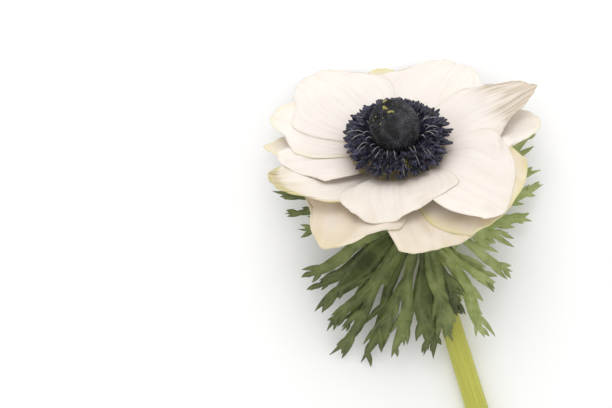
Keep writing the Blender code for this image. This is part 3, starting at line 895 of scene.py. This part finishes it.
def stamen_ring():
    """The low ring in which the filaments are rooted."""
    sides = len(RING_SECTION)
    points, faces = [], []
    for step in range(RING_STEPS):
        ahead = direction(2 * pi * step / RING_STEPS)
        points += [ahead * (RING_RADIUS + out) + UP * up for out, up in RING_SECTION]
        here = step * sides
        there = (step + 1) % RING_STEPS * sides
        for side in range(sides):
            beside = (side + 1) % sides
            faces.append((here + side, there + side, there + beside, here + beside))
    return points, faces


def add_stamens(anther, filament, pale):
    """The ring of stamens: curved filaments with two-lobed anthers, rooted in a low ring."""
    chance = random.Random(5)
    shapes = []
    for number in range(STAMEN_COUNT):
        shapes += stamen(chance, number)
    shapes += [(loose_filament(chance, number), 2) for number in range(LOOSE_FILAMENTS)]
    shapes.append((stamen_ring(), 1))
    add_joined("stamens", shapes, [anther, filament, pale])


# ---- stem

def stem_route():
    """The stem's middle points and radii, from its swollen top to its cut end."""
    top = [(from_bloom(UP * height), radius) for height, radius in RECEPTACLE]
    coarse = top[-1:] + [(HOME + Vector(spot[:3]), spot[3]) for spot in STEM_PATH]
    route = top[:-1]
    for number in range((len(coarse) - 1) * STEM_STEPS):
        place = number / STEM_STEPS
        spot = Vector([cubic([point[axis] for point, _ in coarse], place) for axis in range(3)])
        route.append((spot, cubic([radius for _, radius in coarse], place)))
    return route + coarse[-1:]


def stem_wall(route):
    """The stem's points, finely ridged below its swollen top, and their places on the texture."""
    points, uvs = [], []
    run = 0
    middles, radii = zip(*route)
    for index, (side, over) in enumerate(frames(middles)):
        middle = middles[index]
        run += (middle - middles[max(index - 1, 0)]).length
        for number in range(STEM_SIDES):
            angle = 2 * pi * number / STEM_SIDES
            ridge = 0
            if index >= len(RECEPTACLE):
                ridge = STEM_RIDGE * cos(STEM_RIDGES * angle + STEM_RIDGE_TURN * run)
            here = radii[index] - STEM_RIDGE + ridge
            points.append(middle + (side * cos(angle) + over * sin(angle)) * here)
            uvs.append((abs(2 * number / STEM_SIDES - 1), run / STEM_LENGTH))
    return points, uvs


def add_stem(route, made, cut):
    """The stem: its wall, its closed top and its cut end."""
    points, uvs = stem_wall(route)
    faces = wall_faces(len(route), STEM_SIDES)
    pairs = [(number, (number + 1) % STEM_SIDES) for number in range(STEM_SIDES)]
    top = len(points)
    points.append(route[0][0])
    uvs.append((0.5, 0))
    faces += [(top, beside, number) for number, beside in pairs]
    green = len(faces)
    middle = route[-1][0]
    inwards = (route[-2][0] - middle).normalized()
    outer = range(top - STEM_SIDES, top)
    rim = [points[number] for number in outer]
    for share, sink in CUT_RINGS:
        inner = range(len(points), len(points) + STEM_SIDES)
        points += [middle + (spot - middle) * share + inwards * sink for spot in rim]
        uvs += [(number / STEM_SIDES, 1) for number in range(STEM_SIDES)]
        faces += [(outer[number], outer[beside], inner[beside], inner[number]) for number, beside in pairs]
        outer = inner
    points.append(middle + inwards * CUT_DEPTH)
    uvs.append((0.5, 1))
    faces += [(len(points) - 1, outer[number], outer[beside]) for number, beside in pairs]
    indices = [0] * green + [1] * (len(faces) - green)
    add_piece("stem", points, faces, [made, cut], uv=("stem", uvs), indices=indices)


def stem_obstacle(route):
    """The stem with room round it, as a plain open surface that the leaves are laid over."""
    points, radii = zip(*route[::4])
    found, faces = tube(points, [radius + STEM_CLEARANCE for radius in radii], 14)
    return found, [face for face in faces if len(face) == 4]


# ---- leaves

def heading_vector(degrees):
    """A level direction by its angle in degrees, as a flat vector."""
    return direction(radians(degrees)).xy


def blade(root, heading, length, bend, width, foot, peak, steps, wobble=0):
    """A pointed blade laid flat: its outline and its rib. Widest at peak, it has foot of that at its root."""
    rib = [root]
    left, right = [], []
    for step in range(steps):
        s = step / steps
        toward = heading + bend * s
        half = width / 2 * (foot + (1 - foot) * smooth(s / peak))
        if s > peak:
            half = width / 2 * (1 - ((s - peak) / (1 - peak)) ** 1.5)
        left.append(rib[-1] + heading_vector(toward + 90) * half)
        right.append(rib[-1] - heading_vector(toward + 90) * half)
        swing = LOBE_SWING * sin(8 * s + wobble) if wobble else 0
        rib.append(rib[-1] + heading_vector(toward + swing + bend * 0.5 / steps) * (length / steps))
    return left + [rib[-1]] + right[::-1], rib


def side_blades(lobe, rib, kind, count, side, chance):
    """Small blades of one kind along a lobe's rib, to one side and the other in turn."""
    turn, _, bend, _, _ = lobe
    found = []
    for number in range(count):
        place = kind["start"] + kind["span"] * (number + chance.random()) / count
        heading = turn + bend * place + side * chance.uniform(*kind["angle"])
        length = chance.uniform(*kind["length"])
        width = chance.uniform(*kind["width"])
        found.append(blade(rib[int(place * LOBE_STEPS)], heading, length, -side * kind["bend"], width,
                           kind["foot"], kind["peak"], kind["steps"]))
        side = -side
    return found


def lobe_shapes(lobe, chance, extra):
    """A lobe laid flat about the whorl's middle: outlines and ribs of it, its side points and its teeth."""
    turn, length, bend, width, count = lobe
    root = heading_vector(turn) * LEAF_START
    whole = blade(root, turn, length - LEAF_START, bend, width * SLIM, 0.5, 0.7, LOBE_STEPS,
                  extra.uniform(0.1, 6))
    side = chance.choice((-1, 1))
    side_points = side_blades(lobe, whole[1], SIDE_POINT, count, side, chance)
    teeth = side_blades(lobe, whole[1], TOOTH, TOOTH_COUNT, side * (-1) ** count, extra)
    return [whole] + side_points + teeth


def sheet_flat(lobes, shapes, palm):
    """Some lobes joined to one flat sheet with their share of the palm, with edges along the ribs."""
    first = min(lobe[0] for lobe in lobes)
    last = max(lobe[0] for lobe in lobes)
    fan = [heading_vector(first + (last - first) * step / 6) for step in range(7)]
    points = [ahead * palm for ahead in fan] + [ahead * STALK_RADIUS for ahead in fan[::-1]]
    faces = [list(range(len(points)))]
    edges = []
    for outline, rib in shapes:
        faces.append(list(range(len(points), len(points) + len(outline))))
        points += outline
        inner = rib[:-1]
        edges += [(len(points) + number, len(points) + number + 1) for number in range(len(inner) - 1)]
        points += inner
    low = Vector(map(min, zip(*points)))
    high = Vector(map(max, zip(*points)))
    for row in range(int((high.y - low.y) / LOBE_STEP)):
        for column in range(int((high.x - low.x) / LOBE_STEP)):
            points.append(low + Vector((column + 0.5 * (row % 2), row)) * LOBE_STEP)
    found, _, triangles, _, _, _ = delaunay_2d_cdt(points, edges, faces, 1, 0.01)
    used = sorted({corner for triangle in triangles for corner in triangle})
    place = {corner: number for number, corner in enumerate(used)}
    triangles = [tuple(place[corner] for corner in triangle) for triangle in triangles]
    return [found[corner] for corner in used], triangles


def rib_offset(spot, rib):
    """How far a flat point is from a rib, less than nothing on its right."""
    best = 99
    for near, far in zip(rib, rib[1:]):
        span = far - near
        part = min(max((spot - near).dot(span) / span.length_squared, 0), 1)
        away = spot - near - span * part
        if away.length < abs(best):
            best = copysign(away.length, span.cross(away))
    return best


def leaf_profile(form, droop):
    """How far out and how high a leaf has come at each millimetre along it."""
    reach = STALK_RADIUS
    height = form["height"]
    found = []
    for step in range(LEAF_REACH):
        found.append((reach, height))
        slope = slope_at(form["slope"], step / SLOPE_LENGTH) + radians(droop) * smooth(step / DROOP_LENGTH)
        reach += cos(slope)
        height += sin(slope)
    return found


def draw_slopes(extra, span, lobes):
    """A random slope for each lobe."""
    return [tan(radians(extra.uniform(*span))) for _ in lobes]


def leaf_sheet(form, number, chance, extra):
    """Some lobes of a leaf with their share of its palm, shaped in the air: points, triangles and tints."""
    lobes = form["lobes"][number:number + LOBES_PER_SHEET]
    own_shapes = [lobe_shapes(lobe, chance, extra) for lobe in lobes]
    shapes = [shape for own in own_shapes for shape in own]
    flat, triangles = sheet_flat(lobes, shapes, form["palm"])
    profile = leaf_profile(form, extra.uniform(*SHEET_DROOP))
    level = SHEET_LEVEL * (-1) ** (number // LOBES_PER_SHEET)
    droops = draw_slopes(extra, LOBE_DROOP, lobes)
    rolls = draw_slopes(extra, LOBE_ROLL, lobes)
    # Each lobe's paleness: the leaf's own, a random spread, and painted shade that darkens lower sheets.
    pale_and_shade = [min(max(form["pale"] + 0.1 * level + extra.uniform(*PALE_SPREAD), 0), 1) for _ in lobes]
    longest = max(lobe[1] for lobe in lobes)
    sheet, tints = [], []
    for spot in flat:
        along = max(spot.length - STALK_RADIUS, 0)
        (reach, height), (reach_after, height_after) = profile[int(along)], profile[int(along) + 1]
        part = along - int(along)
        reach += (reach_after - reach) * part
        height += (height_after - height) * part
        offs = [rib_offset(spot, own[0][1]) for own in own_shapes]
        shares = [1 / (off * off + 0.5) for off in offs]
        shares = [share / sum(shares) for share in shares]
        near = min(abs(rib_offset(spot, rib)) for _, rib in shapes)
        out = smooth(along / RELIEF_LENGTH)
        beyond = max(along - 0.6 * form["palm"], 0)
        height += out * (level - PLEAT * min(near, PLEAT_REACH))
        for share, off, droop, roll in zip(shares, offs, droops, rolls):
            height += share * (droop * beyond + roll * max(min(off, ROLL_REACH), -ROLL_REACH) * out)
        height += out * LEAF_BUMP * noise.noise(Vector((spot.x * 0.08, spot.y * 0.08, number * 0.7)))
        toward = spot.normalized() * reach
        place = Vector((WHORL.x + toward.x, WHORL.y + toward.y, max(height, LEAF_LOWEST)))
        sheet.append(HOME + place)
        pale_and_shade_here = sum(share * pale for share, pale in zip(shares, pale_and_shade))
        tints.append((fade(near, RIB_WIDTH), pale_and_shade_here, smooth((along / longest - 0.7) / 0.3), 1))
    return sheet, triangles, tints


def add_leaves(made, stem):
    """The collar of leaves, each made of sheets that are laid over the stem."""
    for name, form in LEAVES.items():
        chance = random.Random(form["seed"])
        extra = random.Random(form["seed"] + 50)
        points, faces, tints = [], [], []
        for number in range(0, len(form["lobes"]), LOBES_PER_SHEET):
            sheet, triangles, own_tints = leaf_sheet(form, number, chance, extra)
            faces += shifted(triangles, len(points))
            points += drape(sheet, triangles, [stem], STEM_CLEARANCE, 4)
            tints += own_tints
        add_piece(name, points, faces, [made], tint=tints, thickness=LEAF_THICKNESS)


# ---- stage

def add_floor():
    mesh = bpy.data.meshes.new("floor")
    half = FLOOR_HALF * MM
    corners = [(-half, -half, 0), (half, -half, 0), (half, half, 0), (-half, half, 0)]
    mesh.from_pydata(corners, [], [(0, 1, 2, 3)])
    paint = Paint("floor", {"Base Color": (*FLOOR_COLOUR, 1), "Roughness": 0.9, "Specular IOR Level": 0.1})
    mesh.materials.append(paint.material)
    floor = add_object("floor", mesh)


def add_light():
    """An even white sky, and one soft lamp in front of the bloom's face."""
    world = bpy.data.worlds.new("studio")
    world.use_nodes = True
    sky = world.node_tree.nodes["Background"].inputs
    sky["Color"].default_value = (1, 1, 1, 1)
    sky["Strength"].default_value = SKY_STRENGTH
    bpy.context.scene.world = world
    place = BLOOM_MIDDLE + AXIS * KEY_DISTANCE + KEY_SHIFT
    light = bpy.data.lights.new("key", "AREA")
    light.size = KEY_SIZE * MM
    light.energy = KEY_ENERGY
    lamp = add_object("key", light)
    lamp.location = place * MM
    lamp.rotation_euler = (BLOOM_MIDDLE - place).to_track_quat("-Z", "Y").to_euler()


def add_camera():
    """The camera, which looks straight down. FRAME_WIDTH is how wide it sees at the bloom's height."""
    camera = bpy.data.cameras.new("camera")
    camera.sensor_width = SENSOR
    camera.lens = SENSOR * CAMERA_DISTANCE / FRAME_WIDTH
    camera.clip_start = 0.01
    camera.clip_end = 20
    placed = add_object("camera", camera)
    placed.location = (BLOOM_MIDDLE + CAMERA_SHIFT + UP * CAMERA_DISTANCE) * MM
    bpy.context.scene.camera = placed
    bpy.context.scene.view_settings.view_transform = "Standard"


def main():
    add_petals(petal_material())
    add_centre(dark_material("dark_centre", DOME_TONES, 0.52), plain_material("pollen", POLLEN_COLOUR, 0.8))
    add_stamens(dark_material("anthers", ANTHER_TONES, 0.34),
                plain_material("filaments", FILAMENT_COLOUR, 0.4),
                plain_material("pale_filaments", PALE_FILAMENT_COLOUR, 0.4))
    route = stem_route()
    add_stem(route, stem_material(), plain_material("cut_end", CUT_COLOUR, 0.6))
    add_leaves(leaf_material(), stem_obstacle(route))
    add_floor()
    add_light()
    add_camera()


main()
